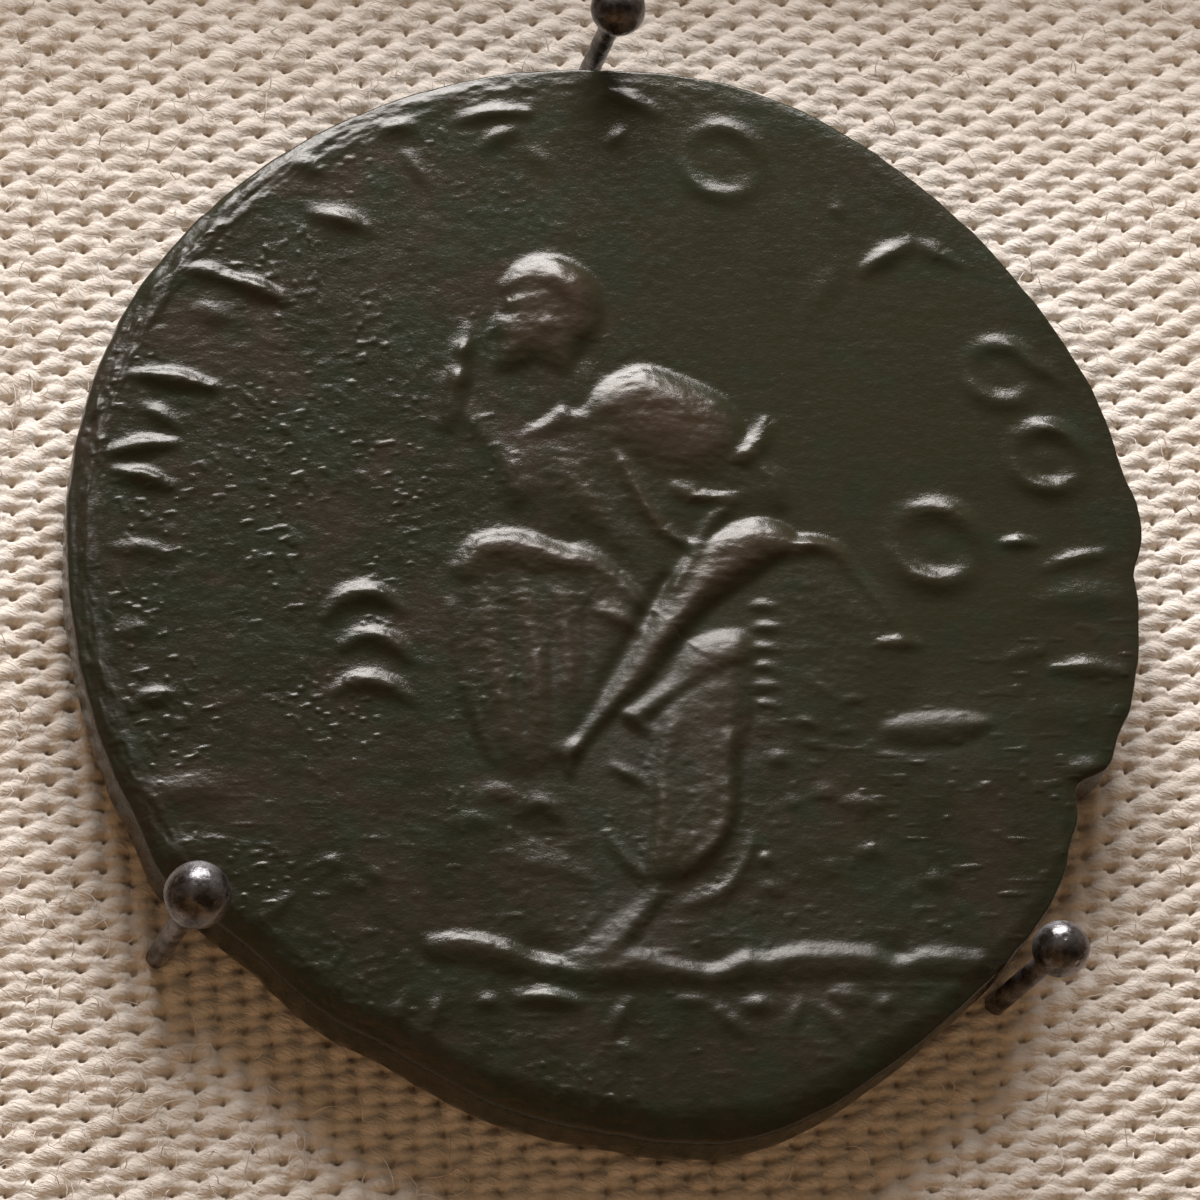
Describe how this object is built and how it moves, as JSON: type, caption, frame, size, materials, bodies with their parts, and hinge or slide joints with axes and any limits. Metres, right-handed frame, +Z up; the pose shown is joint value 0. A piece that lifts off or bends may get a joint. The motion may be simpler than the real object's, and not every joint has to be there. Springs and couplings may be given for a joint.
{
  "type": "coin display tray",
  "caption": "Square wooden display tray with a lift-out linen-covered pad, on which a worn bronze coin lies between ball-headed steel pins.",
  "frame": {"origin": "middle of the felt underside, on the surface that the tray stands on", "axes": "+Z up out of the linen, +X to the right along the linen's weft, +Y towards the back rail"},
  "size_m": [0.076, 0.076, 0.0198],
  "materials": {
    "oak": "waxed oak, fine open grain",
    "walnut": "dark walnut slips, waxed",
    "birch_plywood": "bare birch plywood",
    "pad_plywood": "bare thin plywood",
    "brass": "turned, lightly tarnished",
    "felt": "dense wool felt",
    "linen": "coarse unbleached plain weave, slubby yarns",
    "white_foam": "closed-cell foam sheet",
    "staple_steel": "drawn wire",
    "dark_pin_steel": "dark oxidised steel, slightly pitted, soft shine",
    "bronze_patina": "dark olive-brown patina on worn struck bronze"
  },
  "bodies": {
    "tray": {"underside_felt": "felt", "base_panel": "birch_plywood", "base_screw_1": "brass", "base_screw_2": "brass", "base_screw_3": "brass", "base_screw_4": "brass", "base_screw_5": "brass", "base_screw_6": "brass", "base_screw_7": "brass", "base_screw_8": "brass", "rail_front": "oak", "rail_right": "oak", "rail_back": "oak", "rail_left": "oak", "corner_key_1": "walnut", "corner_key_2": "walnut", "corner_key_3": "walnut", "corner_key_4": "walnut"},
    "pad": {"linen_cover": "linen", "pad_foam": "white_foam", "pad_board": "pad_plywood", "staple_1": "staple_steel", "staple_2": "staple_steel", "staple_3": "staple_steel", "staple_4": "staple_steel", "staple_5": "staple_steel", "staple_6": "staple_steel", "staple_7": "staple_steel", "staple_8": "staple_steel"},
    "coin": {"coin": "bronze_patina"},
    "pin_top": {"pin_shank_top": "dark_pin_steel", "pin_head_top": "dark_pin_steel"},
    "pin_left": {"pin_shank_left": "dark_pin_steel", "pin_head_left": "dark_pin_steel"},
    "pin_right": {"pin_shank_right": "dark_pin_steel", "pin_head_right": "dark_pin_steel"}
  },
  "joints": [
    {"name": "pad_lift", "type": "slide", "parent": "tray", "child": "pad", "axis": [0, 0, 1], "range_m": [0, 0.02]},
    {"name": "coin_lift", "type": "slide", "parent": "pad", "child": "coin", "axis": [0, 0, 1], "range_m": [0, 0.02]},
    {"name": "pin_top_pull", "type": "slide", "parent": "pad", "child": "pin_top", "axis": [0.0746, 0.0611, 0.9953], "range_m": [0, 0.012]},
    {"name": "pin_left_pull", "type": "slide", "parent": "pad", "child": "pin_left", "axis": [0.0571, -0.0805, 0.9951], "range_m": [0, 0.012]},
    {"name": "pin_right_pull", "type": "slide", "parent": "pad", "child": "pin_right", "axis": [0.1503, -0.0079, 0.9886], "range_m": [0, 0.012]}
  ]
}
